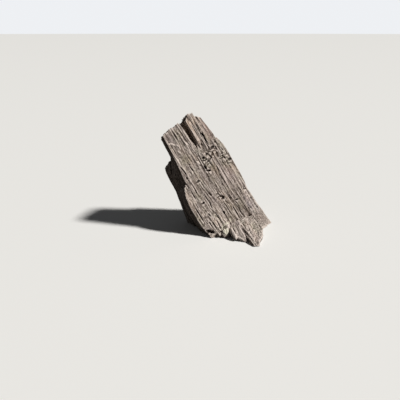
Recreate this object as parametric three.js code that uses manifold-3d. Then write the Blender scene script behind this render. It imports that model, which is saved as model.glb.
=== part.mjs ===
import * as THREE from 'three';
import { mergeVertices } from 'three/addons/utils/BufferGeometryUtils.js';
import Module from 'manifold-3d';

// A slab of wood-grained stone, about 200 mm tall, that stands on a flat base.
// Lengths are in mm and angles in degrees. Up is +Z and the front is toward -Y.

const faceTurn = 26; // the broad face looks this far to the right of the front
const leanBack = 14; // the broad face leans back this far
const grainLean = 27; // the grain leans this far to the left of upright
const stationSpacing = 19; // distance between two cross-sections of a plank
const ridgeWander = 0.45; // share of a ridge's height that changes along it
const endBevel = 0.3; // a broken end falls this much per mm of depth
const endRoom = 3; // least distance from a broken end to the cross-section before it
const jagCarry = 0.5; // share of a jag that the next one keeps
const lumpUnevenness = 0.4; // spread of the corners of a knot or a pit
const baseDepth = 60; // how far the trimming block reaches below the base
const trimSize = 600; // width of the trimming block

const mergeGap = 1e-4; // corners closer than this are one corner
const randomFactor = 16807; // the usual pair of values for a simple generator
const randomRange = 2147483647;

const degrees = Math.PI / 180;
const up = new THREE.Vector3(0, 0, 1);

// Seeded numbers from 0 to 1, so that every build gives the same stone.
function makeRandom(seed) {
  let state = seed * randomFactor;
  return () => {
    state = (state * randomFactor) % randomRange;
    return state / randomRange;
  };
}

// A plank's own frame: p across the grain, q up the grain, w out of its face.
function makeFrame({ origin, turn, lean, grain }) {
  const level = new THREE.Vector3(Math.cos(turn * degrees), Math.sin(turn * degrees), 0);
  const facing = new THREE.Vector3(level.y, -level.x, 0);
  const outward = facing.clone().multiplyScalar(Math.cos(lean * degrees));
  outward.addScaledVector(up, Math.sin(lean * degrees));
  const rise = facing.clone().multiplyScalar(-Math.sin(lean * degrees));
  rise.addScaledVector(up, Math.cos(lean * degrees));
  const along = level.clone().multiplyScalar(-Math.sin(grain * degrees));
  along.addScaledVector(rise, Math.cos(grain * degrees));
  const across = level.clone().multiplyScalar(Math.cos(grain * degrees));
  across.addScaledVector(rise, Math.sin(grain * degrees));
  return { origin: new THREE.Vector3(...origin), across, along, outward };
}

function place(frame, p, q, w) {
  return frame.origin.clone()
    .addScaledVector(frame.across, p)
    .addScaledVector(frame.along, q)
    .addScaledVector(frame.outward, w);
}

// Value at q on a line given as [q, value] corners in rising order of q.
function valueAt(line, q) {
  if (typeof line === 'number') {
    return line;
  }
  if (q <= line[0][0]) {
    return line[0][1];
  }
  for (let i = 1; i < line.length; i += 1) {
    const [q0, v0] = line[i - 1];
    const [q1, v1] = line[i];
    if (q <= q1) {
      return v0 + (v1 - v0) * (q - q0) / (q1 - q0);
    }
  }
  return line[line.length - 1][1];
}

// Corners of a cross-section: t runs across from 0 to 1, d runs from the face to the back.
function ringCorners(fibres, sides, backs) {
  const corners = [];
  for (let i = 0; i <= fibres; i += 1) {
    corners.push({ t: i / fibres, d: 0 });
  }
  for (let i = 1; i <= sides; i += 1) {
    corners.push({ t: 1, d: i / (sides + 1) });
  }
  for (let i = 0; i <= backs; i += 1) {
    corners.push({ t: 1 - i / backs, d: 1 });
  }
  for (let i = 1; i <= sides; i += 1) {
    corners.push({ t: 0, d: 1 - i / (sides + 1) });
  }
  return corners;
}

// A long ridged piece between its left and right edges, its front and its back.
// Both ends are broken: the top end slopes by the value given and falls to the back.
// The cant raises the right edge over the left one, and the crown lowers both of them.
// The number of corners on each side is odd.
function plank(frame, shape) {
  const { left, right, front, back, bottom, top, seed } = shape;
  const { fibres = 5, sides = 1, backs = 3, rough = 1.1, slope = 0, jag = 2.5 } = shape;
  const { cant = 0, crown = 0, spacing = stationSpacing } = shape;
  const random = makeRandom(seed);
  const swing = () => random() * 2 - 1;
  const corners = ringCorners(fibres, sides, backs);
  for (const corner of corners) {
    corner.ridge = rough * swing();
  }
  const topDepth = valueAt(front, top) - valueAt(back, top);
  const clear = endBevel * topDepth + 2 * jag + Math.abs(slope) / 2 + endRoom;
  const count = Math.max(3, Math.round((top - clear - bottom) / spacing));
  const positions = [];
  const addRing = (heightOf) => {
    for (const corner of corners) {
      const q = heightOf(corner);
      const leftEdge = valueAt(left, q);
      const rightEdge = valueAt(right, q);
      const face = valueAt(front, q);
      const rear = valueAt(back, q);
      const bump = corner.ridge + ridgeWander * rough * swing();
      let p = leftEdge + (rightEdge - leftEdge) * corner.t;
      let w = face + (rear - face) * corner.d + valueAt(cant, q) * (corner.t - 0.5);
      w -= corner.d === 0 ? crown * (2 * corner.t - 1) ** 2 : 0;
      if (corner.d === 0) {
        w += bump;
      } else if (corner.d === 1) {
        w -= bump;
      } else {
        p += corner.t === 1 ? bump : -bump;
      }
      positions.push(...place(frame, p, q, w).toArray());
    }
  };
  for (let i = 0; i <= count; i += 1) {
    const q = bottom + (top - clear - bottom) * i / count;
    addRing(() => q);
  }
  let step = 0;
  addRing(({ t, d }) => {
    step = step * jagCarry + jag * swing();
    return top + slope * (t - 0.5) - endBevel * topDepth * d + step;
  });
  const middle = (sides + 1) / 2;
  return closeRings(positions, corners.length, count + 2, fibres + middle, corners.length - middle);
}

// Joins the rings of corners into one closed skin. Each end is a strip of facets that
// runs between the two middle corners of the sides, like a broken end.
function closeRings(positions, size, rings, rightMiddle, leftMiddle) {
  const index = [];
  for (let i = 0; i < rings - 1; i += 1) {
    for (let j = 0; j < size; j += 1) {
      const a = i * size + j;
      const b = i * size + (j + 1) % size;
      index.push(a, b, a + size, b, b + size, a + size);
    }
  }
  const face = [];
  for (let j = leftMiddle; j < size + rightMiddle + 1; j += 1) {
    face.push(j % size);
  }
  const rear = [];
  for (let j = leftMiddle; j >= rightMiddle; j -= 1) {
    rear.push(j);
  }
  const addEnd = (first, flip) => {
    let i = 0;
    let j = 0;
    while (i < face.length - 1 || j < rear.length - 1) {
      const onFace = (i + 1) / face.length <= (j + 1) / rear.length;
      const corners = onFace ? [face[i], face[i + 1], rear[j]] : [rear[j + 1], rear[j], face[i]];
      i += onFace ? 1 : 0;
      j += onFace ? 0 : 1;
      if (new Set(corners).size === 3) {
        const [a, b, c] = corners.map((corner) => first + corner);
        index.push(a, flip ? c : b, flip ? b : c);
      }
    }
  };
  addEnd(0, true);
  addEnd((rings - 1) * size, false);
  const geometry = new THREE.BufferGeometry();
  geometry.setAttribute('position', new THREE.Float32BufferAttribute(positions, 3));
  geometry.setIndex(index);
  return geometry;
}

// A rough lump for a knot or a pit, with its sizes across, along and out of the face.
function lump(frame, { at, size, tilt = 0, seed }) {
  const random = makeRandom(seed);
  const geometry = new THREE.IcosahedronGeometry(1, 0);
  geometry.deleteAttribute('normal');
  geometry.deleteAttribute('uv');
  const merged = mergeVertices(geometry, mergeGap);
  const corners = merged.getAttribute('position');
  for (let i = 0; i < corners.count; i += 1) {
    const grow = 1 + lumpUnevenness * (random() - 0.5);
    const x = corners.getX(i) * grow * size[0];
    const y = corners.getY(i) * grow * size[1];
    const z = corners.getZ(i) * grow * size[2];
    const p = x * Math.cos(tilt * degrees) - y * Math.sin(tilt * degrees);
    const q = x * Math.sin(tilt * degrees) + y * Math.cos(tilt * degrees);
    const point = place(frame, at[0] + p, at[1] + q, at[2] + z);
    corners.setXYZ(i, point.x, point.y, point.z);
  }
  return merged;
}

const slab = makeFrame({ origin: [0, 0, 0], turn: faceTurn, lean: leanBack, grain: grainLean });

// Planks of the front face, from its left edge to its right edge.
const facePlanks = [
  { // low ledge at the left, a little behind the face
    left: [[-12, 1], [22, -1], [51, 0], [62, 1], [76, 3], [90, 9], [98, 15]],
    right: 26,
    front: [[-20, 17], [-8, 16], [6, 9], [22, 4], [50, 1.5], [66, 1], [76, 0.5], [93, -0.5]],
    back: -24,
    bottom: -40,
    top: 99,
    fibres: 6,
    slope: 12,
    jag: 1.5,
    sides: 3,
    seed: 3,
  },
  { // left edge of the face up to the shoulder
    left: [[-30, 18], [40, 20], [68, 20], [95, 16], [107, 19], [132, 22], [151, 25], [185, 27.5]],
    right: [[0, 40], [120, 44], [185, 48]],
    front: [[-20, 18], [-10, 16], [8, 9], [30, 3], [60, 0.5], [150, 0.5], [185, -1]],
    back: -17,
    bottom: -50,
    top: 187,
    fibres: 8,
    slope: 2,
    jag: 1.2,
    sides: 3,
    seed: 5,
  },
  {
    left: [[0, 36], [185, 38]],
    right: [[0, 57], [185, 56]],
    front: [[-30, 4], [-12, 6], [12, 5], [40, 1.5], [120, -0.5], [185, 0]],
    back: -17,
    bottom: -60,
    top: 188,
    fibres: 7,
    jag: 1.2,
    seed: 8,
  },
  { // left bank of the groove
    left: 52,
    right: [[0, 68], [120, 69], [136, 68.5], [141, 65.5], [170, 65], [187, 63]],
    front: [[-20, 2], [20, 1], [60, -0.5], [140, 0.5], [185, 0.5]],
    back: -17,
    bottom: -60,
    top: 188,
    fibres: 6,
    jag: 1.2,
    seed: 11,
  },
  { // proud lobe at the top, right bank of the groove
    left: [[0, 62], [120, 64], [136, 68], [141, 73], [190, 74]],
    right: [[0, 82], [190, 84]],
    front: [[-20, 1], [40, 0], [90, -0.5], [122, 0.2], [137, 0.6], [143, 4], [190, 3]],
    back: -20,
    bottom: -70,
    top: 189,
    spacing: 9,
    fibres: 7,
    slope: 5,
    jag: 1.8,
    seed: 14,
  },
  { // highest part, left of the crack
    left: [[0, 78], [190, 80]],
    right: [[0, 92], [120, 90], [186, 91.5]],
    front: [[-20, 1], [40, 1], [100, 0.5], [130, 2], [190, 4]],
    back: -24,
    bottom: -70,
    top: 191,
    fibres: 5,
    slope: -3,
    jag: 1.5,
    seed: 17,
  },
  { // right of the crack
    left: [[0, 90], [190, 88]],
    right: [[0, 105], [110, 106], [140, 106], [157, 103.5], [168, 102], [180, 100]],
    front: [[-20, 2], [0, 2], [30, 1], [80, 0], [135, 2], [180, 3]],
    back: -24,
    bottom: -70,
    top: 182,
    slope: -15,
    jag: 1.5,
    sides: 3,
    seed: 20,
  },
  { // step that widens the face at the right
    left: 97,
    right: [[0, 108], [27, 114.5], [50, 116], [73, 116], [84, 116], [118, 114.5], [129, 110.5]],
    front: [[-20, -2], [40, -1.5], [78, -2], [84, 0], [120, 0.5], [130, -1]],
    back: -28,
    bottom: -60,
    top: 131,
    slope: -4,
    jag: 1.5,
    sides: 3,
    seed: 23,
  },
  { // pale flank at the lower right
    left: [[-60, 80], [-48, 82], [-36, 88], [-20, 92], [1, 94.5], [27, 99]],
    right: [[-60, 117], [-43, 116], [-27, 114], [-14, 112.5], [11, 112.5], [24, 111]],
    front: [[-62, 19], [-50, 13], [-36, 7.5], [-20, 3], [0, 1.5], [24, 0.5]],
    cant: [[-60, -26], [-46, -20], [-30, -6], [-14, 0]],
    back: -30,
    bottom: -85,
    top: 27,
    fibres: 7,
    slope: -6,
    rough: 1.4,
    jag: 1.5,
    sides: 3,
    seed: 26,
  },
];

// Planks behind the face. They end lower, and one stands out at the left.
const rearPlanks = [
  {
    left: [[0, 2], [60, 6], [100, 16], [130, 22], [140, 30], [178, 40]],
    right: [[-20, 110], [60, 106], [120, 103], [178, 92]],
    front: -10,
    back: [[0, -34], [100, -34], [178, -30]],
    bottom: -85,
    top: 187,
    fibres: 8,
    backs: 8,
    rough: 1.4,
    slope: 4,
    sides: 3,
    seed: 31,
  },
  { // back of the tall middle part
    left: [[0, 30], [100, 40], [165, 54]],
    right: [[-20, 80], [100, 82], [165, 78]],
    front: -28,
    back: [[0, -56], [80, -55], [165, -44]],
    bottom: -85,
    top: 170,
    fibres: 4,
    backs: 6,
    sides: 3,
    rough: 1.7,
    slope: 6,
    seed: 34,
  },
  {
    left: [[0, 2], [50, 7], [104, 15], [126, 19], [136, 30], [148, 40]],
    right: [[0, 60], [146, 58]],
    front: -28,
    back: [[0, -50], [80, -49], [148, -42]],
    bottom: -60,
    top: 150,
    fibres: 4,
    backs: 6,
    sides: 3,
    rough: 1.5,
    slope: 12,
    seed: 36,
  },
  { // back edge that shows as the dark bulge at the left
    left: [[-10, -5], [17, 1], [50, 8], [72, 13.5], [104, 15.5], [116, 16], [124, 17.5], [131, 22]],
    right: [[-20, 70], [50, 52], [110, 40], [134, 38]],
    front: -42,
    back: [[0, -66], [60, -65], [132, -60]],
    bottom: -60,
    top: 135,
    fibres: 4,
    backs: 6,
    sides: 3,
    rough: 1.6,
    slope: 5,
    seed: 37,
  },
  { // low plank at the middle of the back
    left: [[0, 44], [60, 48], [96, 52]],
    right: [[-20, 80], [60, 74], [96, 70]],
    front: -46,
    back: [[-20, -70], [60, -65], [96, -61]],
    bottom: -85,
    top: 99,
    fibres: 3,
    backs: 5,
    sides: 3,
    rough: 1.5,
    slope: -6,
    seed: 39,
  },
  { // right half of the back
    left: [[0, 66], [60, 70], [130, 74]],
    right: [[-40, 108], [30, 102], [130, 94]],
    front: -26,
    back: [[-20, -58], [60, -52], [130, -46]],
    bottom: -85,
    top: 133,
    fibres: 4,
    backs: 6,
    sides: 3,
    rough: 1.6,
    slope: -8,
    seed: 40,
  },
  { // step low on the right side
    left: 90,
    right: [[-60, 116], [-20, 112], [50, 107], [70, 105]],
    front: -22,
    back: [[-40, -46], [70, -40]],
    bottom: -85,
    top: 72,
    fibres: 3,
    backs: 4,
    sides: 3,
    rough: 1.4,
    slope: -10,
    seed: 42,
  },
];

// Foot that runs out to the front, in a frame of its own that lies almost level.
const footFrame = makeFrame({ origin: [84.8, -40.7, 0], turn: 10.7, lean: 75.5, grain: 0 });
const foot = {
  left: [[0, -8], [4, -9.5], [12, -10.5], [19, -12.5], [29, -15], [40, -16], [82, -15]],
  right: [[0, 1.5], [6, 3], [12, 5.5], [16, 10], [22, 14.5], [30, 14.5], [36, 19], [54, 18], [80, 16]],
  front: [[0, 3], [8, 4.2], [20, 4.8], [50, 4], [70, 1], [80, 0]],
  cant: [[0, 1], [25, 2], [60, 2]],
  back: [[0, -12], [40, -30], [80, -34]],
  spacing: 7.5,
  bottom: 0,
  top: 81,
  fibres: 8,
  slope: 6,
  rough: 1.3,
  jag: 1.5,
  seed: 43,
};

// Smooth splinter that leans on the foot.
const splinterFrame = makeFrame({ origin: [69.8, -26.7, 0], turn: 22, lean: 65, grain: 0 });
const splinter = {
  left: [[-4, -1], [5, -9], [11, -15], [18, -19], [28, -20], [38, -16], [52, -9]],
  right: [[-4, 0.5], [13, -0.5], [24, -0.5], [36, 0.5], [52, 2]],
  front: [[-4, -1], [4, 1.8], [10, 3], [20, 4], [30, 4.4], [52, 5]],
  cant: [[0, 1], [12, 4], [30, 5], [50, 3]],
  crown: 1.4,
  spacing: 8,
  back: [[-4, -8], [52, -26]],
  bottom: -5,
  top: 46,
  fibres: 4,
  backs: 2,
  slope: 8,
  rough: 0.4,
  jag: 1.5,
  seed: 46,
};

// Knots that stand out of the face.
const knots = [
  { at: [71, 120, -1], size: [4, 7, 3.4], seed: 91 },
  { at: [74, 112, -1], size: [6, 3, 3.2], tilt: 20, seed: 92 },
  { at: [66, 104, -2], size: [4, 6, 3.6], seed: 93 },
  { at: [85, 118, 0], size: [5, 4, 3], seed: 94 },
  { at: [98, 91, -1], size: [6, 4, 3.2], tilt: -20, seed: 95 },
  { at: [86, 10, -1], size: [5, 7, 3.4], seed: 96 },
  { at: [34, -9, 5], size: [6, 8, 6], seed: 97 },
  { at: [41, -12, 2], size: [5, 7, 6], seed: 98 },
  { at: [31.6, -8.2, 15.4], size: [6.6, 10.5, 5.6], tilt: -34, seed: 103 },
];

// Pits and knots of the face, and the hollow under the left foot.
const pits = [
  { at: [79, 122, 3], size: [3.2, 4, 4], seed: 51 },
  { at: [91, 123, 3], size: [5, 2.4, 4], tilt: 20, seed: 52 },
  { at: [68, 115, 1], size: [4, 3, 4], seed: 53 },
  { at: [79, 107, 1], size: [6, 2.6, 4], tilt: 14, seed: 54 },
  { at: [63, 100, 0], size: [2.4, 5, 4], seed: 55 },
  { at: [66, 91, 0], size: [4.5, 2, 3.6], tilt: -30, seed: 56 },
  { at: [99, 98, 1], size: [4.5, 3, 4], seed: 57 },
  { at: [109, 86, 1], size: [5, 4, 4], seed: 58 },
  { at: [38.6, 89, 1], size: [4, 2, 4], tilt: 15, seed: 59 },
  { at: [25.4, 52, 1], size: [3, 1.8, 3.4], tilt: 20, seed: 60 },
  { at: [61, 39, 0], size: [4.5, 3.4, 3.6], tilt: -30, seed: 61 },
  { at: [82.6, 18.5, 1], size: [3.4, 1.8, 3.4], tilt: 15, seed: 62 },
  { at: [48, 15.4, 4], size: [2, 3, 3], seed: 63 },
  { at: [104, 27, 0], size: [4, 2, 5], tilt: 10, seed: 64 },
  { at: [6, 6, 10], size: [11, 3.6, 6], tilt: -56, seed: 65 },
];
const crack = { at: [88.6, 141, 3], size: [1.5, 15, 9], tilt: -1, seed: 71 };

const wasm = await Module();
wasm.setup();

function toSolid(geometry) {
  geometry.deleteAttribute('normal');
  geometry.deleteAttribute('uv');
  const merged = mergeVertices(geometry, mergeGap);
  const mesh = new wasm.Mesh({
    numProp: 3,
    vertProperties: new Float32Array(merged.getAttribute('position').array),
    triVerts: new Uint32Array(merged.getIndex().array),
  });
  return new wasm.Manifold(mesh);
}

const solids = [...facePlanks, ...rearPlanks].map((shape) => toSolid(plank(slab, shape)));
solids.push(toSolid(plank(footFrame, foot)), toSolid(plank(splinterFrame, splinter)));
let body = solids.reduce((whole, solid) => whole.add(solid));
for (const knot of knots) {
  body = body.add(toSolid(lump(slab, knot)));
}
for (const cut of [...pits, crack]) {
  body = body.subtract(toSolid(lump(slab, cut)));
}
const ground = new THREE.BoxGeometry(trimSize, trimSize, baseDepth * 2);
ground.translate(0, 0, -baseDepth);
body = body.subtract(toSolid(ground));

const skin = body.getMesh();
const geometry = new THREE.BufferGeometry();
geometry.setAttribute('position', new THREE.BufferAttribute(new Float32Array(skin.vertProperties), 3));
geometry.setIndex(new THREE.BufferAttribute(new Uint32Array(skin.triVerts), 1));
geometry.computeBoundingBox();
const box = geometry.boundingBox;
geometry.translate(-(box.min.x + box.max.x) / 2, -(box.min.y + box.max.y) / 2, -box.min.z);
geometry.computeVertexNormals();

const stone = new THREE.Mesh(
  geometry,
  new THREE.MeshStandardMaterial({ color: 0x8f8276, roughness: 0.85, metalness: 0, flatShading: true }),
);
stone.name = 'stone';

const group = new THREE.Group();
group.name = 'glimmer_wood_stone';
group.add(stone);

export default group;
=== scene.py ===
import math

import bmesh
import bpy
import numpy as np
from mathutils import Matrix, Vector, noise


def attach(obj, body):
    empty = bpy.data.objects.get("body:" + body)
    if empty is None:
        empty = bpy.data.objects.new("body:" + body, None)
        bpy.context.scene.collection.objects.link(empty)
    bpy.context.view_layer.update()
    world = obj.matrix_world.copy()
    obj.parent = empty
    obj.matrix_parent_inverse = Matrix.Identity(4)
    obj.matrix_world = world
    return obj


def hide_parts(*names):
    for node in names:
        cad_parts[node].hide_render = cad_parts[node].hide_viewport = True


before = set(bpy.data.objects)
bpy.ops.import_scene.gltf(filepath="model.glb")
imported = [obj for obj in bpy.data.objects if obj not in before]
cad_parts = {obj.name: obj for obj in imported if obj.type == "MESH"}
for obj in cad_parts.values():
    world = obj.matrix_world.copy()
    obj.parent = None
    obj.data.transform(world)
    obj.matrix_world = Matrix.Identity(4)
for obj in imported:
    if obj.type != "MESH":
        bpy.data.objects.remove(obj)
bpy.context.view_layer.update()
print("frame loaded")

mm = 0.001  # sizes on the stone are in millimetres, Blender is in metres
seedShift = 17.31  # moves the noise on from one seed to the next

# the broad face and its grain, as on the solid; angles in degrees
slab = {
    "turn": 26,  # the face looks this far to the right of the front
    "lean": 14,
    "grain": 27,
    "corner": (-21.84, -29.96, 0.0),  # lower left corner of the face on the base
    "markPlane": 1.0,  # marks are drawn this far out of the corner, as the camera sees them
}

# the foot that runs out to the front: where it starts and ends across its own grain (left,
# right), along it (length) and out of its top (bottom, top)
foot = {
    "turn": 10.7,
    "lean": 75.5,
    "grain": 0,
    "corner": (62.96, -70.66, 0.0),
    "markPlane": 2.0,
    "left": -19.0,
    "right": 21.0,
    "length": 72.0,
    "fade": 6.0,  # the stone around it takes over within this distance
    "bottom": -15.0,
    "top": 9.0,
}

# the smooth splinter that leans on the foot, in the same way
splinter = {
    "turn": 22,
    "lean": 65,
    "grain": 0,
    "corner": (47.96, -56.66, 0.0),
    "markPlane": 3.5,
    "left": -22.0,
    "right": 1.0,
    "length": 45.0,
    "fade": 3.0,
    "bottom": -4.0,
    "top": 7.0,
}

blockStart = (-12.0, -6.0)  # foot and splinter fade in here, below the base


def axesOf(shape):
    # rows are across the grain, up the grain and out of the face
    turn, lean, grain = (math.radians(shape[key]) for key in ("turn", "lean", "grain"))
    level = np.array([math.cos(turn), math.sin(turn), 0.0])
    facing = np.array([level[1], -level[0], 0.0])
    up = np.array([0.0, 0.0, 1.0])
    outward = facing * math.cos(lean) + up * math.sin(lean)
    rise = up * math.cos(lean) - facing * math.sin(lean)
    along = rise * math.cos(grain) - level * math.sin(grain)
    across = level * math.cos(grain) + rise * math.sin(grain)
    return np.array([across, along, outward])


def inFrame(places, shape):
    return (places - np.array(shape["corner"])) @ axesOf(shape).T


def onMarkPlane(local, shape):
    # where the camera sees each point on the plane that the marks are drawn on
    eye = inFrame(np.array(cameraPlace["at"]), shape)
    share = (shape["markPlane"] - eye[2]) / (local[:, 2] - eye[2])
    return eye[0] + (local[:, 0] - eye[0]) * share, eye[1] + (local[:, 1] - eye[1]) * share


def smoothStep(low, high, values):
    t = np.clip((values - low) / (high - low), 0.0, 1.0)
    return t * t * (3.0 - 2.0 * t)


def upFrom(low, values):
    # low where the value is 0, and 1 where it is 1
    return low + (1.0 - low) * values


def noiseAt(points, sizes, seed):
    # smooth noise from about -1 to 1, with lumps of the given sizes on the three axes
    places = points / np.array(sizes) + seed * seedShift
    return np.array([noise.noise(place) for place in places.tolist()])


def blockWeight(local, shape):
    # 1 in the foot or the splinter in its own frame, fading to 0 outside it
    fade = shape["fade"]
    weight = smoothStep(shape["left"] - fade, shape["left"], local[:, 0])
    weight *= 1.0 - smoothStep(shape["right"], shape["right"] + fade, local[:, 0])
    weight *= 1.0 - smoothStep(shape["length"], shape["length"] + fade, local[:, 1])
    weight *= smoothStep(*blockStart, local[:, 1])
    weight *= smoothStep(shape["bottom"] - fade, shape["bottom"], local[:, 2])
    return weight * (1.0 - smoothStep(shape["top"], shape["top"] + fade, local[:, 2]))


skin = {
    "mergeGap": 0.001,
    "stretch": 0.42,  # squeezes the grain while remeshing, so that cells are long and narrow
    "voxel": 0.62,
    "triangles": 188000,
    "lumpDetail": 3,  # subdivisions of a lump
    # crumbly lumps at the lower left: place on the slab, size to the right, to the back and up
    "lumps": [
        ((26.2, -13.3, 19.0), (5.6, 7.5, 12.0)),
        ((14.8, -5.6, 17.2), (3.6, 3.4, 3.6)),
        ((19.0, -8.2, 16.5), (5.2, 4.6, 5.0)),
        ((22.3, -10.6, 18.0), (6.2, 7.0, 10.0)),
    ],
    # the splinter's left rim: place and size along the splinter's own axes
    "splinterRim": ((-18.4, 24.0, -1.0), (4.4, 13.0, 4.8)),
}


def addLump(bm, shape, at, size, turned):
    place = Vector((np.array(shape["corner"]) + np.array(at) @ axesOf(shape)) * mm)
    scaled = Matrix.Diagonal([reach * mm for reach in size] + [1.0])
    matrix = Matrix.Translation(place) @ turned @ scaled
    detail = skin["lumpDetail"]
    made = bmesh.ops.create_icosphere(bm, subdivisions=detail, radius=1.0, matrix=matrix)
    for vert in made["verts"]:
        vert.co.z = max(vert.co.z, 0.0)


def addLumps(bm):
    # each one overlaps the solid, and the remesh makes them one
    for at, size in skin["lumps"]:
        addLump(bm, slab, at, size, Matrix.Identity(4))
    turned = Matrix(axesOf(splinter).T.tolist()).to_4x4()
    addLump(bm, splinter, *skin["splinterRim"], turned)


def copyCadMesh(node, name):
    # the solid's loose triangles, merged into one closed skin
    bm = bmesh.new()
    bm.from_mesh(node.data)
    bmesh.ops.remove_doubles(bm, verts=bm.verts, dist=skin["mergeGap"] * mm)
    addLumps(bm)
    mesh = bpy.data.meshes.new(name)
    bm.to_mesh(mesh)
    bm.free()
    piece = bpy.data.objects.new(name, mesh)
    bpy.context.scene.collection.objects.link(piece)
    return piece


def applyModifiers(piece):
    bpy.context.view_layer.update()
    shaped = piece.evaluated_get(bpy.context.evaluated_depsgraph_get())
    mesh = bpy.data.meshes.new_from_object(shaped)
    piece.modifiers.clear()
    old = piece.data
    piece.data = mesh
    bpy.data.meshes.remove(old)


def countTriangles(mesh):
    return sum(len(polygon.vertices) - 2 for polygon in mesh.polygons)


def remeshAlongGrain(piece):
    # squeezes the stone along its grain, remeshes it evenly and stretches it back
    squeeze = Matrix.Diagonal((1.0, skin["stretch"], 1.0, 1.0))
    toGrain = squeeze @ Matrix(axesOf(slab).tolist()).to_4x4()
    piece.data.transform(toGrain)
    remesh = piece.modifiers.new("remesh", "REMESH")
    remesh.mode = "VOXEL"
    remesh.voxel_size = skin["voxel"] * mm
    applyModifiers(piece)
    piece.data.transform(toGrain.inverted())
    print("stone remeshed:", countTriangles(piece.data), "triangles")


def dropCrumbs(mesh):
    # takes out the tiny closed bits that the remesh leaves loose from the stone
    edges = np.zeros(len(mesh.edges) * 2, np.int32)
    mesh.edges.foreach_get("vertices", edges)
    a, b = edges.reshape(-1, 2).T
    label = np.arange(len(mesh.vertices))
    settled = False
    while not settled:
        lower = np.minimum(label[a], label[b])
        spread = label.copy()
        np.minimum.at(spread, a, lower)
        np.minimum.at(spread, b, lower)
        spread = spread[spread]
        settled = bool((spread == label).all())
        label = spread
    loose = np.nonzero(label != np.bincount(label).argmax())[0]
    bm = bmesh.new()
    bm.from_mesh(mesh)
    bm.verts.ensure_lookup_table()
    bmesh.ops.delete(bm, geom=[bm.verts[i] for i in loose], context="VERTS")
    bm.to_mesh(mesh)
    bm.free()
    print("loose crumbs dropped:", len(loose), "points")


def thinOut(piece):
    # drops points where the surface is plain
    thin = piece.modifiers.new("thin", "DECIMATE")
    thin.ratio = min(1.0, skin["triangles"] / countTriangles(piece.data))
    thin.use_collapse_triangulate = True
    applyModifiers(piece)
    print("stone thinned:", countTriangles(piece.data), "triangles")


def readPoints(mesh):
    places = np.zeros(len(mesh.vertices) * 3, np.float32)
    mesh.vertices.foreach_get("co", places)
    normals = np.zeros(len(mesh.vertices) * 3, np.float32)
    mesh.vertices.foreach_get("normal", normals)
    return places.reshape(-1, 3).astype(float) / mm, normals.reshape(-1, 3).astype(float)


def heightAboveNeighbours(mesh, places, normals, rounds):
    # how far each point stands out from its surroundings, in mm
    edges = np.zeros(len(mesh.edges) * 2, np.int32)
    mesh.edges.foreach_get("vertices", edges)
    a, b = edges.reshape(-1, 2).T
    counts = np.bincount(edges, minlength=len(places))
    smooth = places.copy()
    for _ in range(rounds):
        for axis in range(3):
            value = smooth[:, axis]
            total = np.bincount(a, value[b], len(places)) + np.bincount(b, value[a], len(places))
            smooth[:, axis] = total / np.maximum(counts, 1)
    return ((places - smooth) * normals).sum(axis=1)


def addAttribute(mesh, name, values):
    kind, key = ("FLOAT_VECTOR", "vector") if values.ndim == 2 else ("FLOAT", "value")
    attribute = mesh.attributes.new(name, kind, "POINT")
    attribute.data.foreach_set(key, values.astype(np.float32).ravel())


# layers of the surface: width across the grain, length along it and height, in mm;
# sharp makes a seam narrower, and from and to say which of the noise counts
layers = {
    "wander": {"width": 40.0, "length": 110.0, "height": 1.0},
    "patches": {"width": 10.0, "length": 45.0, "from": -0.25, "to": 0.2},
    "swell": {"width": 8.0, "length": 170.0, "height": 0.45},
    "wideSeams": {"width": 6.0, "length": 120.0, "height": 0.34, "sharp": 7.0},
    "narrowSeams": {"width": 3.4, "length": 70.0, "height": 0.36, "sharp": 4.0},
    "fibre": {"width": 1.8, "length": 48.0, "height": 0.42},
    "dash": {"width": 2.2, "length": 7.0, "height": 0.66},
    "pebble": {"width": 3.0, "length": 3.8, "height": 0.8},
    "grit": {"width": 1.5, "length": 2.2, "height": 0.3},
    "ends": {"width": 2.6, "length": 9.0, "height": 1.5},
    "crumb": {"width": 4.2, "length": 5.2, "height": 0.9},
    "fleck": {"width": 2.1, "length": 7.0, "height": 1.5},
    "holes": {"width": 5.5, "length": 7.0, "height": 2.2, "from": 0.5, "to": 0.62},
}

# how the layers lie on each other
weathering = {
    "plainDash": 0.35,  # dashes on firm stone, as a share of those in loose places
    "endCalm": 0.7,  # share of the grain that is gone on the broken ends
    "fleckTilt": -30.0,
    "fleckPlaces": (0.55, 0.9),  # how loose the surface is where flecks stand up
    "secondPebble": 0.5,
    "splinterDash": 0.6,
    "leastShare": 0.001,  # a part that covers less than this of a point doesn't change it
}


def layerValues(name, grain, seed):
    look = layers[name]
    return noiseAt(grain, (look["width"], look["length"], look["width"]), seed)


def layerNoise(name, grain, seed):
    return layers[name]["height"] * layerValues(name, grain, seed)


def layerSeams(name, grain, seed):
    # narrow valleys where the noise changes sign
    lines = np.abs(layerValues(name, grain, seed))
    return layers[name]["height"] * np.clip(1.0 - layers[name]["sharp"] * lines, 0.0, 1.0)


def layerPlaces(name, grain, seed):
    # 1 where the noise is high and 0 where it is low
    return smoothStep(layers[name]["from"], layers[name]["to"], layerValues(name, grain, seed))


def tiltGrain(grain, degrees):
    c = math.cos(math.radians(degrees))
    s = math.sin(math.radians(degrees))
    across, along, outward = grain.T
    return np.column_stack([c * along - s * across, c * across + s * along, outward])


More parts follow.
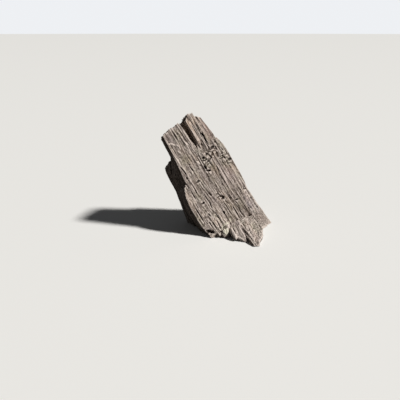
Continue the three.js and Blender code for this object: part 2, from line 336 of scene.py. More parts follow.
def weatheredHeight(grain, loose, ends):
    # ridges, seams and fibres of the wood-like grain
    bent = grain.copy()
    bent[:, 0] += layerNoise("wander", grain, seed=1)
    bent[:, 2] += layerNoise("wander", grain, seed=2)
    height = layerNoise("swell", bent, seed=4)
    height -= layerSeams("wideSeams", bent, seed=5) * layerPlaces("patches", bent, seed=3)
    height -= layerSeams("narrowSeams", bent, seed=6)
    height += layerNoise("fibre", bent, seed=7)
    height += layerNoise("dash", bent, seed=8) * upFrom(weathering["plainDash"], loose)
    height *= 1.0 - weathering["endCalm"] * ends
    height += layerNoise("ends", bent, seed=9) * ends
    height += layerNoise("crumb", bent, seed=10) * loose
    fleck = layerNoise("fleck", tiltGrain(bent, weathering["fleckTilt"]), seed=14)
    return height + fleck * smoothStep(*weathering["fleckPlaces"], loose)


def pebbledHeight(grain):
    height = layerNoise("pebble", grain, seed=11)
    height += layerNoise("pebble", grain, seed=12) * weathering["secondPebble"]
    return height + layerNoise("grit", grain, seed=13)


def splinterHeight(grain):
    height = layerNoise("fibre", grain, seed=31)
    height += layerNoise("dash", grain, seed=32) * weathering["splinterDash"]
    return height + layerNoise("grit", grain, seed=33)


def mixByWeight(base, points, weight, shape):
    # replaces base by shape(points) where the weight is 1, and blends them where it is less
    inside = weight > weathering["leastShare"]
    mixed = base.copy()
    if inside.any():
        share = weight[inside]
        mixed[inside] = base[inside] * (1.0 - share) + shape(points[inside]) * share
    return mixed


# drawn on the face, across and up the grain as the camera sees it
faceMarks = {
    # seams, cut in and darkened with painted shade: points, half width, depth
    "seams": [
        ([(87, 153), (88, 145), (88.6, 138), (90.2, 130.5)], 1.3, 4.0),
        ([(88, 170), (88, 157)], 0.7, 0.8),
        ([(57, 160), (58.5, 150), (59, 142)], 0.8, 1.1),
        ([(72, 150), (72.5, 142), (73, 131)], 0.9, 1.6),
        ([(60.5, 134), (60.5, 122)], 0.8, 1.3),
        ([(25, 128), (26, 108)], 0.9, 1.5),
        ([(39.6, 119), (40, 107)], 0.9, 1.3),
        ([(51.5, 133), (51, 116)], 0.9, 0.8),
        ([(18.2, 98), (18.6, 88), (17.6, 66)], 0.9, 1.2),
        ([(-3, 14), (5, 5), (13, -5)], 2.6, 2.0),
        ([(26, 95), (25.2, 74)], 0.8, 1.3),
        ([(42, 85), (41.6, 74), (43, 64), (45, 53)], 1.1, 2.4),
        ([(35, 63), (34.6, 55), (35.5, 45), (34, 34)], 1.0, 2.0),
        ([(34.8, 26), (34.6, -6)], 0.9, 1.4),
        ([(8, 52), (8.6, 40), (8, 25)], 1.1, 2.0),
        ([(29, 12), (28, -6)], 0.9, 1.6),
        ([(16, 18), (16.4, 4)], 0.9, 1.5),
        ([(22.6, 31), (23.4, 24)], 1.3, 2.0),
        ([(21, 14), (21.5, -4)], 0.8, 1.4),
        ([(13, 60), (13.4, 50)], 0.9, 1.4),
        ([(49, 26), (48.2, 10), (49, -8)], 0.9, 1.1),
        ([(54, 24), (54.4, 4)], 0.8, 1.1),
        ([(56, 82), (55.4, 60)], 0.7, 0.7),
        ([(63, 32), (64.4, 22)], 0.9, 1.4),
        ([(66.4, 78), (66.8, 48)], 0.8, 1.2),
        ([(71.5, 82), (71.2, 60), (71.6, 18)], 0.8, 1.1),
        ([(78.8, 74), (78.6, 56)], 0.6, 0.5),
        ([(80.6, 90), (80.2, 78)], 0.7, 0.6),
        ([(69, 12), (69.4, -16)], 1.0, 1.6),
        ([(76, 14), (77, -16)], 0.9, 1.2),
        ([(93, -6), (94, -16), (95, -24)], 0.9, 1.0),
        ([(94, 112), (93.4, 100)], 1.0, 1.6),
        ([(97.6, 121), (97, 113)], 1.0, 1.8),
        ([(105, 116), (108, 105)], 0.9, 1.5),
        ([(45, 183), (44.6, 150)], 0.6, 0.6),
        ([(51, 178), (51.2, 160)], 0.6, 0.4),
        ([(33, 158), (32.6, 138)], 0.7, 0.9),
        ([(82.4, 186), (82.6, 150)], 0.8, 1.0),
    ],
    # pale crests, partly the stone's pale grain and partly painted highlight: points, half width,
    # height
    "crests": [
        ([(26, 147), (26.8, 128), (28, 112)], 1.4, 1.1),
        ([(28, 169.5), (32, 168), (35, 165), (36.4, 161)], 1.2, 1.1),
        ([(38.4, 161.5), (41, 157), (41.2, 150)], 1.2, 1.0),
        ([(36, 152), (37, 145)], 1.2, 0.9),
        ([(48, 178), (48, 172)], 1.0, 0.7),
        ([(53, 180), (54, 173)], 1.0, 0.7),
        ([(53, 160), (56.4, 149)], 1.1, 0.8),
        ([(62, 178), (62.4, 140)], 1.1, 0.7),
        ([(79, 182), (82, 162), (82.4, 152)], 1.0, 0.7),
        ([(54.6, 118), (57, 110)], 1.5, 1.1),
        ([(32, 110), (32, 104)], 1.2, 0.9),
        ([(37, 112), (37, 104)], 1.2, 0.9),
        ([(15, 99), (16, 90)], 1.3, 0.8),
        ([(24, 92), (23, 76)], 1.1, 0.8),
        ([(44, 80), (46.4, 58)], 1.1, 0.8),
        ([(58, 82), (58.4, 58)], 1.1, 0.7),
        ([(86, 110), (85, 78)], 1.2, 0.4),
        ([(87.6, 68), (87.6, 54)], 1.0, 0.4),
        ([(99.6, 62), (99.8, 22)], 0.9, 0.5),
        ([(31, 16), (31, -8)], 1.1, 0.9),
        ([(38, 20), (38.4, -6)], 1.2, 0.8),
        ([(25, 31), (26.4, 16)], 1.2, 1.0),
        ([(65, 8), (66, -18)], 1.4, 1.1),
        ([(5.6, 30), (6, 22)], 1.2, 0.9),
        ([(81.8, 56), (82, 24)], 0.8, 0.3),
        ([(92, 72), (92, 40)], 0.9, 0.3),
        ([(72, 112), (76, 109.8)], 1.0, 0.7),
        ([(79, 117.6), (82, 116)], 0.9, 0.6),
    ],
    # pits, sunk in and darkened with painted shade: across, up, half length, half width, tilt,
    # depth
    "pits": [
        (92.4, 122, 3.4, 2.2, 0, 3.6),
        (86, 120.4, 5.0, 1.5, -4, 1.8),
        (79, 119, 4.6, 2.2, 8, 2.0),
        (69, 117, 2.6, 1.2, 0, 2.0),
        (66, 112, 4.2, 1.5, -28, 3.2),
        (73, 106.4, 5.0, 1.5, 4, 3.2),
        (82.4, 111, 4.0, 1.5, 32, 2.0),
        (62, 103, 1.7, 2.6, 0, 2.4),
        (91.4, 116, 1.6, 1.6, 0, 1.8),
        (64.6, 93, 4.6, 1.5, -32, 3.0),
        (96.6, 96.6, 5.4, 1.5, -22, 2.4),
        (110, 86, 4.0, 2.4, -24, 3.4),
        (103.6, 81.4, 3.2, 1.3, -18, 2.0),
        (38.4, 88, 4.2, 1.4, -6, 3.2),
        (24.4, 51.8, 3.8, 1.3, -4, 3.0),
        (56, 49.4, 3.0, 1.4, -35, 1.8),
        (57.6, 43, 3.2, 1.3, -32, 3.2),
        (61.2, 37, 3.6, 2.3, 8, 4.0),
        (52, 44.4, 1.3, 1.8, 0, 1.4),
        (82.4, 18.6, 3.0, 1.1, -22, 2.4),
        (106, 25, 3.4, 1.2, -20, 2.8),
        (48, 13.4, 1.5, 3.0, 0, 2.4),
        (60.6, -15.4, 1.5, 3.4, 6, 2.6),
        (48.6, -10.4, 1.6, 1.6, 0, 2.0),
        (44, -14, 1.4, 1.4, 0, 1.6),
        (24, 105, 2.0, 1.8, 0, 2.0),
        (50.4, 174.6, 1.3, 1.3, 0, 1.4),
        (101, 127, 1.6, 1.8, 0, 1.6),
        (41, 121, 1.4, 1.4, 0, 1.4),
    ],
    # places where the surface breaks up: across, up, reach across, reach up, strength
    "loose": [
        (82, 116, 18, 9, 1.0),
        (68, 103, 10, 10, 0.9),
        (102, 98, 11, 10, 0.8),
        (104, 84, 9, 7, 0.8),
        (56, 44, 9, 9, 0.7),
        (52, 108, 12, 10, 0.4),
        (12, 26, 20, 26, 0.5),
        (8, 76, 8, 22, 0.4),
        (22, -6, 18, 12, 0.7),
        (40, -14, 14, 10, 0.5),
    ],
    # valleys of the solid that are too deep for the skin, in the same way
    "filled": [
        (80, 58, 6, 42, 1.0),
        (86, 40, 5, 32, 1.0),
        (96, 62, 5, 34, 1.0),
        (57, 76, 3.5, 20, 0.6),
        (51, 165, 3, 24, 0.7),
        (45, 168, 3, 20, 0.7),
        (104, 54, 3.5, 28, 0.7),
        (96, 158, 6, 28, 1.0),
        (36, 8, 3, 16, 0.5),
        (88, -8, 7, 26, 1.0),
        (85, 121, 12, 3, 0.6),
        (80, 108, 8, 3, 0.6),
    ],
}

# the same on the foot and on the splinter, with darker places
footMarks = {
    "seams": [
        ([(10, 92), (13, 75), (16, 62), (18, 55)], 1.1, 1.5),
        ([(1, 67), (2.4, 61)], 1.0, 1.0),
        ([(3, 47), (5, 42)], 0.9, 1.2),
        ([(-5, 37), (-4, 30)], 0.9, 1.2),
        ([(-12, 62), (-11, 52)], 0.9, 1.0),
        ([(8, 34), (7, 26)], 0.9, 0.8),
        ([(-15.6, 54), (-14, 40), (-12.6, 28), (-12, 14)], 2.1, 2.6),
    ],
    "crests": [
        ([(-5.4, 8), (-6.8, 22), (-9.4, 32), (-11.4, 42)], 2.6, 1.2),
        ([(-8, 52), (-9, 44)], 1.2, 0.8),
        ([(-3, 53), (-2, 44), (-3.6, 36)], 1.4, 0.9),
        ([(2, 40), (4, 38)], 1.5, 0.7),
        ([(7, 66), (5, 57)], 1.6, 0.8),
        ([(12, 67), (13, 58)], 1.2, 0.6),
        ([(-12, 67), (-5, 73), (4, 77), (10, 80)], 1.3, 0.8),
        ([(14, 22), (9, 17)], 1.6, 0.7),
        ([(26, 43), (32, 52), (39, 62)], 1.6, 0.7),
    ],
    "shades": [(24, 60, 10, 15, 0.9), (-15, 32, 3, 9, 0.4)],
}
splinterMarks = {
    "seams": [
        ([(-17, 35), (-16, 28), (-16.6, 19)], 0.9, 1.4),
        ([(-9, 30), (-10, 20)], 0.8, 0.5),
        ([(0.5, 36), (1, 27), (1.6, 18), (1.8, 6)], 2.0, 2.6),
    ],
    "crests": [
        ([(-19.6, 38), (-19.6, 26), (-18, 14), (-10, 7)], 3.0, 1.0),
        ([(-5, 33), (-4, 22), (-2.6, 14)], 1.4, 0.6),
        ([(-12, 27), (-13.6, 20)], 1.4, 0.6),
    ],
    "shades": [(-3, 38, 6, 6, 0.9)],
}

# tinted places of the face, where lit is painted light and shade is painted shade: across, up,
# reach across, reach up, strength
tints = {
    "warm": [
        (80, 178, 8, 15, 1.0),
        (76, 88, 7, 16, 0.8),
        (36, 91, 5, 6, 0.7),
        (60, 40, 10, 11, 0.7),
        (91, 112, 7, 12, 0.7),
        (47, 124, 7, 12, 0.4),
        (70, 20, 7, 14, 0.5),
    ],
    "mauve": [
        (33, 172, 8, 14, 0.9),
        (30, 150, 6, 12, 0.6),
        (22, 120, 4, 17, 1.0),
        (44, 46, 6, 12, 0.5),
        (12, 48, 6, 10, 0.5),
        (95, 52, 11, 26, 0.9),
        (84, 75, 7, 14, 0.5),
        (56, 92, 8, 10, 0.4),
        (101, 150, 6, 22, 0.8),
        (102, 4, 9, 24, 1.0),
        (58, -20, 8, 9, 1.0),
    ],
    "olive": [
        (40, 131, 10, 9, 1.0),
        (52, 174, 7, 10, 0.8),
        (80, 118, 12, 6, 0.7),
        (100, 90, 10, 12, 0.5),
        (60, 6, 14, 20, 0.7),
        (84, 8, 9, 14, 0.7),
    ],
    "moss": [
        (69, 106, 9, 13, 0.9),
        (25, 66, 6, 12, 0.8),
        (2, 34, 5, 16, 0.8),
        (40, 108, 7, 7, 0.4),
        (69, 130, 6, 7, 0.7),
        (24, -6, 14, 8, 0.6),
        (107, 85, 6, 8, 0.9),
        (109, 110, 5, 18, 0.6),
        (8, -3, 7, 6, 0.8),
    ],
    # pale places are mostly the stone's paler tone; some are painted light over the shade beside a
    # step of the solid
    "pale": [
        (89, 180, 3.6, 9, 1.0),
        (75.4, 156.6, 3, 4.4, 0.9),
        (10.6, 66, 4.6, 10, 0.9),
        (8, 82, 4, 8, 0.6),
        (43.6, 94, 3.6, 7, 0.6),
        (13, 35.4, 3, 4, 0.6),
        (95.6, 6, 2, 4, 0.9),
        (97, 156, 7, 26, 0.9),
        (88, -11, 3, 13, 0.6),
        (78, 160, 5, 28, 0.6),
    ],
    "cream": [
        (35, -15, 8, 10, 1.0),
        (43, -8, 4, 5, 0.8),
        (17, -15, 4, 3, 0.7),
        (51.6, -4.6, 2.4, 3, 0.6),
    ],
    "groove": [(69, 163, 5.5, 27, 1.0)],
    "flank": [(102, 0, 9, 25, 1.0), (106, -10, 10, 20, 1.0)],
    "lit": [
        (77, 158, 7, 30, 1.0),
        (92, 58, 17, 26, 0.5),
        (96, 160, 7, 24, 0.9),
        (9, 70, 8, 20, 1.0),
        (30, 112, 4, 22, 0.4),
    ],
    "shade": [
        (82, 119, 18, 6, 0.7),
        (68, 103, 10, 12, 0.6),
        (101, 90, 9, 9, 0.6),
        (37, 88, 5, 5, 0.7),
        (19, 53, 8, 8, 0.5),
        (58, 43, 9, 9, 0.6),
        (47, 15, 5, 9, 0.4),
        (67, 4, 24, 24, 0.95),
        (57, 72, 16, 22, 0.5),
        (30, 78, 12, 24, 0.4),
        (23, 124, 6, 22, 1.0),
        (42, 165, 16, 20, 0.3),
        (101, -44, 12, 12, 1.0),
        (59, -22, 6, 7, 0.9),
        (84, 143, 5, 14, 0.4),
        (30, 184, 9, 3, 0.6),
        (108, 84, 7, 10, 0.8),
        (109, 112, 4, 16, 0.6),
        (32, 176, 7, 10, 0.5),
        (7, -3, 6, 6, 1.0),
    ],
}

# how drawn strokes, pits and places look
markLook = {
    "taper": (-0.05, 0.2),  # a stroke grows to its full width here, as shares of its length
    "thinEnd": 0.45,
    "faintEnd": 0.5,
    "strokeWaver": 0.4,  # how far the noise makes it uneven
    "upperLip": 1.1,  # the higher, the steeper
    "lowerLip": 0.75,
    "pitEdge": (0.45, 1.3),
    "placeEdge": (0.5, 1.25),
    "edgeWaver": 0.3,
    "fullSeam": 2.6,  # a seam this deep gets the darkest painted shade
    "fullPit": 3.4,
    "pitShare": 0.45,  # the solid already has most of a pit's depth
    "crestShare": 0.8,
}


def strokeWeight(across, along, path, half, uneven):
    # 1 on the stroke, fading to 0 at its sides, thinner at its ends
    lengths = [math.dist(a, b) for a, b in zip(path, path[1:])]
    nearest = np.full(len(across), np.inf)
    travelled = np.zeros(len(across))
    start = 0.0
    for (a, b), length in zip(zip(path, path[1:]), lengths):
        step = ((across - a[0]) * (b[0] - a[0]) + (along - a[1]) * (b[1] - a[1])) / length**2
        step = np.clip(step, 0.0, 1.0)
        gap = np.hypot(across - a[0] - step * (b[0] - a[0]), along - a[1] - step * (b[1] - a[1]))
        closer = gap < nearest
        nearest = np.where(closer, gap, nearest)
        travelled = np.where(closer, start + step * length, travelled)
        start += length
    part = travelled / start
    taper = smoothStep(*markLook["taper"], part) * smoothStep(*markLook["taper"], 1.0 - part)
    width = half * upFrom(markLook["thinEnd"], taper) * (1.0 + markLook["strokeWaver"] * uneven)
    return np.exp(-((nearest / width) ** 2)) * upFrom(markLook["faintEnd"], taper)


def pitWeight(across, along, place, uneven):
    # 1 in the pit, with a steep upper lip and a gentle lower one
    x, y, halfLength, halfWidth, tilt = place
    c = math.cos(math.radians(tilt))
    s = math.sin(math.radians(tilt))
    u = (c * (across - x) + s * (along - y)) / halfLength
    v = (c * (along - y) - s * (across - x)) / halfWidth
    v = np.where(v > 0.0, v * markLook["upperLip"], v * markLook["lowerLip"])
    gap = np.hypot(u, v) + markLook["edgeWaver"] * uneven
    return 1.0 - smoothStep(*markLook["pitEdge"], gap)


def patchWeight(across, along, patches, uneven):
    weight = np.zeros(len(across))
    waver = markLook["edgeWaver"] * uneven
    for x, y, reachAcross, reachAlong, strength in patches:
        gap = np.hypot((across - x) / reachAcross, (along - y) / reachAlong) + waver
        weight = np.maximum(weight, strength * (1.0 - smoothStep(*markLook["placeEdge"], gap)))
    return weight


class Marks:
    # adds strokes to the height and keeps where they are, for the colours: painted shade in seams
    # and pits, and pale crests with painted highlight
    def __init__(self, count):
        self.height = np.zeros(count)
        self.seam = np.zeros(count)
        self.paleAndLitCrest = np.zeros(count)
        self.pitShade = np.zeros(count)

    def draw(self, drawn, spot, uneven, share):
        for path, half, depth in drawn["seams"]:
            weight = strokeWeight(*spot, path, half, uneven) * share
            self.seam = np.maximum(self.seam, weight * min(1.0, depth / markLook["fullSeam"]))
            self.height -= weight * depth
        for path, half, rise in drawn["crests"]:
            weight = strokeWeight(*spot, path, half, uneven) * share
            self.paleAndLitCrest = np.maximum(self.paleAndLitCrest, weight * min(1.0, rise))
            self.height += weight * rise * markLook["crestShare"]
        for *place, depth in drawn.get("pits", []):
            weight = pitWeight(*spot, place, uneven) * share
            self.pitShade = np.maximum(self.pitShade, weight * min(1.0, depth / markLook["fullPit"]))
            self.height -= weight * depth * markLook["pitShare"]


# where marks and layers reach: a pair of numbers says where something fades in
carving = {
    "faceDepth": (-16.0, -10.0),  # how far behind the face's plane a mark still lies
    "faceSlope": (0.0, 0.4),  # how far a surface turns outwards to take marks
    "footSlope": (0.0, 0.3),
    "splinterSlope": (0.1, 0.4),
    "endSlope": (0.5, 0.8),  # how far a surface turns along the grain to be a broken end
    "unevenSizes": (5, 9, 5),
    "bendAcross": 0.7,  # how far the marks are bent, in mm
    "bendAcrossSizes": (9, 16, 40),
    "bendAlong": 0.6,
    "bendAlongSizes": (5, 12, 40),
    "fillRounds": 60,  # rounds of smoothing that find the solid's valleys
    "fillDepth": 3.0,
    "flankPebbles": 0.6,  # how far the lower right flank is as pebbled as the foot
    "flankMarks": 0.8,
    "baseFade": (0.3, 2.5),  # the relief fades out towards the base
    "baseFlat": 0.4,  # what lies lower than this is the base
    "reliefRounds": 3,
    "hollowRounds": 40,
    "filledRelief": 0.4,  # share of the relief's painted highlight and shade that a filled valley loses
    "creamPlain": 0.8,  # share of the painted shade in hollows that the cream lobe doesn't have
    # painted shade in the stray holes
    "holeShade": 0.7,
    "apart": 300.0,  # keeps the grain of the foot and of the splinter apart from the slab's
}


def carveStone(piece):
    mesh = piece.data
    places, normals = readPoints(mesh)
    onSlab = inFrame(places, slab)
    onFoot = inFrame(places, foot)
    onSplinter = inFrame(places, splinter)
    splinterPart = blockWeight(onSplinter, splinter)
    footPart = blockWeight(onFoot, foot) * (1.0 - splinterPart)
    slabPart = 1.0 - np.maximum(footPart, splinterPart)

    # the drawn marks lie only on the broad face, the foot's top and the splinter's top
    _, slabAlong, slabOut = axesOf(slab)
    facing = smoothStep(*carving["faceDepth"], onSlab[:, 2])
    facing *= smoothStep(*carving["faceSlope"], normals @ slabOut)
    onFace = facing * slabPart
    uneven = noiseAt(onSlab, carving["unevenSizes"], seed=21)
    across, along = onMarkPlane(onSlab, slab)
    across += carving["bendAcross"] * noiseAt(onSlab, carving["bendAcrossSizes"], seed=22)
    along += carving["bendAlong"] * noiseAt(onSlab, carving["bendAlongSizes"], seed=23)
    faceSpot = (across, along)
    loose = patchWeight(*faceSpot, faceMarks["loose"], uneven) * onFace
    filled = patchWeight(*faceSpot, faceMarks["filled"], uneven) * onFace
    flankPart = patchWeight(*faceSpot, tints["flank"], uneven) * onFace
    ends = smoothStep(*carving["endSlope"], np.abs(normals @ slabAlong)) * slabPart
    footSpot = onMarkPlane(onFoot, foot)
    footTop = np.maximum(footPart, carving["flankMarks"] * flankPart)
    footTop = footTop * smoothStep(*carving["footSlope"], normals[:, 2])
    splinterSpot = onMarkPlane(onSplinter, splinter)
    splinterSlope = smoothStep(*carving["splinterSlope"], normals @ axesOf(splinter)[2])
    splinterTop = splinterPart * splinterSlope

    sunk = heightAboveNeighbours(mesh, places, normals, carving["fillRounds"])
    sunk = np.clip(sunk, -carving["fillDepth"], 0.0)
    height = weatheredHeight(onSlab, loose, ends) - filled * sunk
    height = mixByWeight(height, onFoot, footPart, pebbledHeight)
    height = mixByWeight(height, onSplinter, splinterPart, splinterHeight)
    height = mixByWeight(height, onSlab, carving["flankPebbles"] * flankPart, pebbledHeight)
    marks = Marks(len(places))
    marks.draw(faceMarks, faceSpot, uneven, onFace)
    marks.draw(footMarks, footSpot, uneven, footTop)
    marks.draw(splinterMarks, splinterSpot, uneven, splinterTop)
    height += marks.height

    # stray holes on the sides and the back
    holes = layerPlaces("holes", onSlab, seed=24) * (1.0 - facing) * (1.0 - ends) * slabPart
    height -= layers["holes"]["height"] * holes

    # the base stays flat
    height *= smoothStep(*carving["baseFade"], places[:, 2])
    moved = places + normals * height[:, None]
    moved[:, 2] = np.where(places[:, 2] < carving["baseFlat"], 0.0, np.maximum(moved[:, 2], 0.0))
    mesh.vertices.foreach_set("co", (moved * mm).astype(np.float32).ravel())
    mesh.update()

    # what the material reads
    places, normals = readPoints(mesh)
    grain = inFrame(places, slab)
    mostlyFoot = footPart > 0.5
    mostlySplinter = splinterPart > 0.5
    grain[mostlyFoot] = inFrame(places[mostlyFoot], foot) + carving["apart"]
    grain[mostlySplinter] = inFrame(places[mostlySplinter], splinter) + 2.0 * carving["apart"]
    creamPart = patchWeight(*faceSpot, tints["cream"], uneven) * onFace
    # painted highlight on small bumps and painted shade in small dips, then painted shade in wide
    # hollows, from how far each point stands out
    reliefShading = heightAboveNeighbours(mesh, places, normals, carving["reliefRounds"])
    hollowShade = heightAboveNeighbours(mesh, places, normals, carving["hollowRounds"])
    speckle = np.maximum(loose, carving["flankMarks"] * flankPart)
    readings = {
        "grain": grain,
        "reliefShading": reliefShading * (1.0 - carving["filledRelief"] * filled),
        "hollowShade": hollowShade * (1.0 - np.maximum(filled, carving["creamPlain"] * creamPart)),
        "foot": footPart,
        "splinter": splinterPart,
        "seam": marks.seam,
        "paleAndLitCrest": marks.paleAndLitCrest,
        "pitShade": np.maximum(marks.pitShade, carving["holeShade"] * holes),
        "speckle": np.maximum(speckle, footPart),
    }
    for name, patches in tints.items():
        readings[name] = patchWeight(*faceSpot, patches, uneven) * onFace
    readings["shade"] += patchWeight(*footSpot, footMarks["shades"], uneven) * footTop
    readings["shade"] += patchWeight(*splinterSpot, splinterMarks["shades"], uneven) * splinterTop
    readings["shade"] = np.clip(readings["shade"], 0.0, 1.0)
    for name, values in readings.items():
        addAttribute(mesh, name, values)
    print("stone carved")


def linear(colour):
    # sRGB 0-255 to Blender's linear colour
    shares = [value / 255.0 for value in colour]
    plain = [s / 12.92 if s < 0.04045 else ((s + 0.055) / 1.055) ** 2.4 for s in shares]
    return (*plain, 1.0)


class NodeMaker:
    # short calls for the nodes of one material, or of the world
    def __init__(self, owner):
        owner.use_nodes = True
        self.tree = owner.node_tree
        self.tree.nodes.clear()

    def fill(self, node, inputs):
        for socket, value in dict(inputs).items():
            if isinstance(value, bpy.types.NodeSocket):
                self.tree.links.new(value, node.inputs[socket])
            else:
                node.inputs[socket].default_value = value

    def add(self, kind, inputs=(), **settings):
        node = self.tree.nodes.new(kind)
        for key, value in settings.items():
            setattr(node, key, value)
        self.fill(node, inputs)
        return node

    def amount(self, name):
        return self.add("ShaderNodeAttribute", attribute_name=name).outputs["Fac"]

    def maths(self, operation, a, b):
        return self.add("ShaderNodeMath", {0: a, 1: b}, operation=operation).outputs[0]

    def between(self, value, low, high, toHigh=1.0, toLow=0.0):
        inputs = {"Value": value, "From Min": low, "From Max": high}
        inputs.update({"To Min": toLow, "To Max": toHigh})
        return self.add("ShaderNodeMapRange", inputs).outputs["Result"]

    def mix(self, factor, a, b, blend="MIX"):
        # the sockets 6, 7 and 2 are the node's colours
        inputs = {0: factor, 6: a, 7: b}
        node = self.add("ShaderNodeMix", data_type="RGBA", blend_type=blend)
        self.fill(node, inputs)
        return node.outputs[2]

    def grainNoise(self, grain, sizes, detail, roughness):
        scale = tuple(1.0 / size for size in sizes)
        stretched = self.add("ShaderNodeVectorMath", {0: grain, 1: scale}, operation="MULTIPLY")
        inputs = {"Vector": stretched.outputs[0], "Scale": 1.0}
        inputs.update({"Detail": detail, "Roughness": roughness})
        return self.add("ShaderNodeTexNoise", inputs, noise_dimensions="3D").outputs["Fac"]


stoneColours = {
    "body": (128, 114, 104),
    "light": (233, 219, 209),
    "dark": (66, 53, 44),
    "pale": (208, 190, 174),
    "cream": (244, 238, 218),
    "lit": (205, 184, 169),
    "flank": (196, 189, 186),
    "foot": (159, 149, 143),
    "splinter": (158, 145, 141),
    "groove": (138, 102, 58),
    "pitShade": (44, 33, 27),
}

stoneLook = {
    "roughness": 0.78,
    "parts": ("lit", "flank", "pale", "cream", "foot", "splinter", "groove"),
    "partShare": 0.85,
    # threads along the grain and, last, short flecks: sizes in mm, detail, share of pale, of dark
    "threads": [
        ((13, 80, 13), 2, 0.3, 0.3),
        ((4.4, 120, 4.4), 2, 0.4, 0.35),
        ((1.9, 40, 1.9), 2, 0.66, 0.66),
        ((2.4, 5.0, 2.4), 3, 0.68, 0.62),
    ],
    "threadRoughness": 0.6,
    "paleThreads": (0.52, 0.68),  # which of the noise counts
    "darkThreads": (0.48, 0.32),
    "specks": ((1.9, 2.8, 1.9), 3, 0.6),
    "paleSpecks": (0.53, 0.66, 0.75),  # the last number is the share
    "darkSpecks": (0.46, 0.32, 0.7),
    "firmSpecks": 0.65,  # specks on firm stone, as a share of those on crumbly stone
    "creamUnder": 0.4,
    # what each hue does to red, green and blue
    "hues": {
        "warm": (1.06, 0.97, 0.87, 1.0),
        "mauve": (0.99, 0.96, 1.02, 1.0),
        "olive": (0.96, 0.98, 0.86, 1.0),
        "moss": (0.93, 1.0, 0.93, 1.0),
    },
    # drifts of hue along the slab: sizes in mm, which of the noise counts, share
    "drifts": {
        "mauve": ((15, 60, 15), (0.5, 0.68, 0.6)),
        "olive": ((19, 52, 19), (0.5, 0.66, 0.6)),
        "warm": ((12, 46, 12), (0.53, 0.68, 0.6)),
        "moss": ((9, 30, 9), (0.54, 0.68, 0.6)),
    },
    "driftDetail": 2,
    "driftRoughness": 0.5,
    # painted shade, painted highlight on bumps and painted shade in dips and hollows, pale crests
    # with painted highlight, the cream lobe, and painted shade in seams and pits: reading, where it
    # starts, where it is full, share, colour
    "shadeAndMarks": [
        ("shade", 0.0, 1.0, 0.42, "dark"),
        ("reliefShading", 0.03, 0.17, 0.74, "light"),
        ("reliefShading", -0.03, -0.25, 0.75, "dark"),
        ("paleAndLitCrest", 0.0, 1.0, 0.7, "light"),
        ("hollowShade", -0.8, -3.0, 0.7, "dark"),
        ("cream", 0.0, 1.0, 0.7, "cream"),
        ("seam", 0.0, 1.0, 0.9, "pitShade"),
        ("pitShade", 0.0, 1.0, 0.85, "pitShade"),
    ],
    "fibreBump": ((0.8, 12, 0.8), 3, 0.6),
    "gritBump": ((0.6, 1.1, 0.6), 3, 0.7),
    "gritShare": 0.7,
    "bumpStrength": 0.8,
    "bumpDistance": 0.0008,
}


def stoneMaterial():
    material = bpy.data.materials.new("woodGrainStone")
    make = NodeMaker(material)
    colours = {name: linear(value) for name, value in stoneColours.items()}
    grain = make.add("ShaderNodeAttribute", attribute_name="grain").outputs["Vector"]

    colour = colours["body"]
    for name in stoneLook["parts"]:
        share = make.maths("MULTIPLY", make.amount(name), stoneLook["partShare"])
        colour = make.mix(share, colour, colours[name])

    for sizes, detail, pale, dark in stoneLook["threads"]:
        threads = make.grainNoise(grain, sizes, detail, stoneLook["threadRoughness"])
        paleShare = make.between(threads, *stoneLook["paleThreads"], pale)
        darkShare = make.between(threads, *stoneLook["darkThreads"], dark)
        colour = make.mix(paleShare, colour, colours["light"])
        colour = make.mix(darkShare, colour, colours["dark"])

    specks = make.grainNoise(grain, *stoneLook["specks"])
    share = make.between(make.amount("speckle"), 0.0, 1.0, 1.0, stoneLook["firmSpecks"])
    pale = make.maths("MULTIPLY", make.between(specks, *stoneLook["paleSpecks"]), share)
    dark = make.maths("MULTIPLY", make.between(specks, *stoneLook["darkSpecks"]), share)
    colour = make.mix(pale, colour, colours["light"])
    colour = make.mix(dark, colour, colours["dark"])
    share = make.maths("MULTIPLY", make.amount("cream"), stoneLook["creamUnder"])
    colour = make.mix(share, colour, colours["cream"])

    for name, (sizes, counted) in stoneLook["drifts"].items():
        drift = make.grainNoise(grain, sizes, stoneLook["driftDetail"], stoneLook["driftRoughness"])
        share = make.between(drift, *counted)
        colour = make.mix(share, colour, stoneLook["hues"][name], "MULTIPLY")
    for name, hue in stoneLook["hues"].items():
        colour = make.mix(make.amount(name), colour, hue, "MULTIPLY")

    for name, low, high, share, over in stoneLook["shadeAndMarks"]:
        shadeAndMarks = make.between(make.amount(name), low, high, share)
        colour = make.mix(shadeAndMarks, colour, colours[over])

    fibreBump = make.grainNoise(grain, *stoneLook["fibreBump"])
    gritBump = make.grainNoise(grain, *stoneLook["gritBump"])
    height = make.maths("ADD", fibreBump, make.maths("MULTIPLY", gritBump, stoneLook["gritShare"]))
    bump = make.add("ShaderNodeBump", {
        "Strength": stoneLook["bumpStrength"],
        "Distance": stoneLook["bumpDistance"],
        "Height": height,
    })
    shader = make.add("ShaderNodeBsdfPrincipled", {
        "Base Color": colour,
        "Roughness": stoneLook["roughness"],
        "Normal": bump.outputs["Normal"],
    })
    make.add("ShaderNodeOutputMaterial", {"Surface": shader.outputs["BSDF"]})
    return material


def buildStone():
    piece = copyCadMesh(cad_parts["stone"], "stoneSkin")
    remeshAlongGrain(piece)
    dropCrumbs(piece.data)
    carveStone(piece)
    thinOut(piece)
    piece.data.materials.clear()
    piece.data.materials.append(stoneMaterial())
    piece.data.shade_smooth()
    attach(piece, "root")
    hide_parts("stone")


floorLook = {
    "radius": 40.0,
    "sides": 96,
    "colour": (244, 244, 242),
    "bounce": (54, 50, 46),  # the light it throws back onto the stone
    "roughness": 0.9,
}


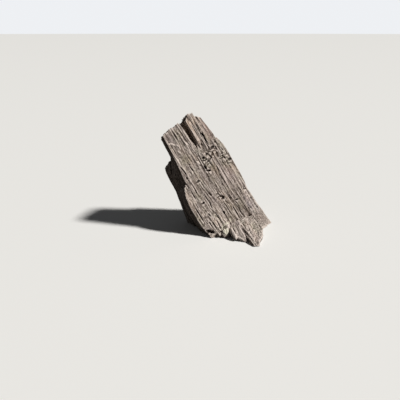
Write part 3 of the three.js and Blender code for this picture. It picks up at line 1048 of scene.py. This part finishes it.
def buildFloor():
    bm = bmesh.new()
    sides = floorLook["sides"]
    bmesh.ops.create_circle(bm, cap_ends=True, segments=sides, radius=floorLook["radius"])
    mesh = bpy.data.meshes.new("floor")
    bm.to_mesh(mesh)
    bm.free()
    floor = bpy.data.objects.new("floor", mesh)
    bpy.context.scene.collection.objects.link(floor)
    material = bpy.data.materials.new("paleFloor")
    make = NodeMaker(material)
    seen = make.add("ShaderNodeLightPath").outputs["Is Camera Ray"]
    colour = make.mix(seen, linear(floorLook["bounce"]), linear(floorLook["colour"]))
    shader = make.add("ShaderNodeBsdfPrincipled", {
        "Base Color": colour,
        "Roughness": floorLook["roughness"],
    })
    make.add("ShaderNodeOutputMaterial", {"Surface": shader.outputs["BSDF"]})
    mesh.materials.append(material)


# the camera stands where the photograph was taken from
cameraPlace = {
    "at": (-34.04, -702.66, 333.0),
    "down": 21.617,  # degrees
    "lens": 38.7,
    "sensor": 36.0,
    "nearest": 0.01,  # in metres
}


def placeCamera():
    data = bpy.data.cameras.new("camera")
    data.lens = cameraPlace["lens"]
    data.sensor_width = cameraPlace["sensor"]
    data.clip_start = cameraPlace["nearest"]
    camera = bpy.data.objects.new("camera", data)
    camera.location = [v * mm for v in cameraPlace["at"]]
    camera.rotation_euler = (math.radians(90 - cameraPlace["down"]), 0.0, 0.0)
    bpy.context.scene.collection.objects.link(camera)
    bpy.context.scene.camera = camera


studio = {
    "keyFrom": (0.68, -0.2, 0.7),
    "keyStrength": 3.8,
    "keySpread": 6.0,  # degrees, for a slightly soft shadow
    "keyColour": (1.0, 0.98, 0.95),
    "skyStrength": 0.052,
    "skyColour": (0.95, 0.97, 1.0),
    "backdropStrength": 0.9,  # what the camera sees behind the floor
}


def placeLights():
    data = bpy.data.lights.new("key", "SUN")
    data.energy = studio["keyStrength"]
    data.angle = math.radians(studio["keySpread"])
    data.color = studio["keyColour"]
    key = bpy.data.objects.new("key", data)
    key.rotation_euler = Vector(studio["keyFrom"]).to_track_quat("Z", "Y").to_euler()
    bpy.context.scene.collection.objects.link(key)
    world = bpy.data.worlds.new("studio")
    make = NodeMaker(world)
    seen = make.add("ShaderNodeLightPath").outputs["Is Camera Ray"]
    colour = (*studio["skyColour"], 1.0)
    fill = make.add("ShaderNodeBackground", {
        "Color": colour,
        "Strength": studio["skyStrength"],
    })
    backdrop = make.add("ShaderNodeBackground", {
        "Color": colour,
        "Strength": studio["backdropStrength"],
    })
    both = make.add("ShaderNodeMixShader", {0: seen, 1: fill.outputs[0], 2: backdrop.outputs[0]})
    make.add("ShaderNodeOutputWorld", {"Surface": both.outputs[0]})
    bpy.context.scene.world = world
    bpy.context.scene.view_settings.view_transform = "Standard"


buildFloor()
placeCamera()
placeLights()
print("studio ready")
buildStone()
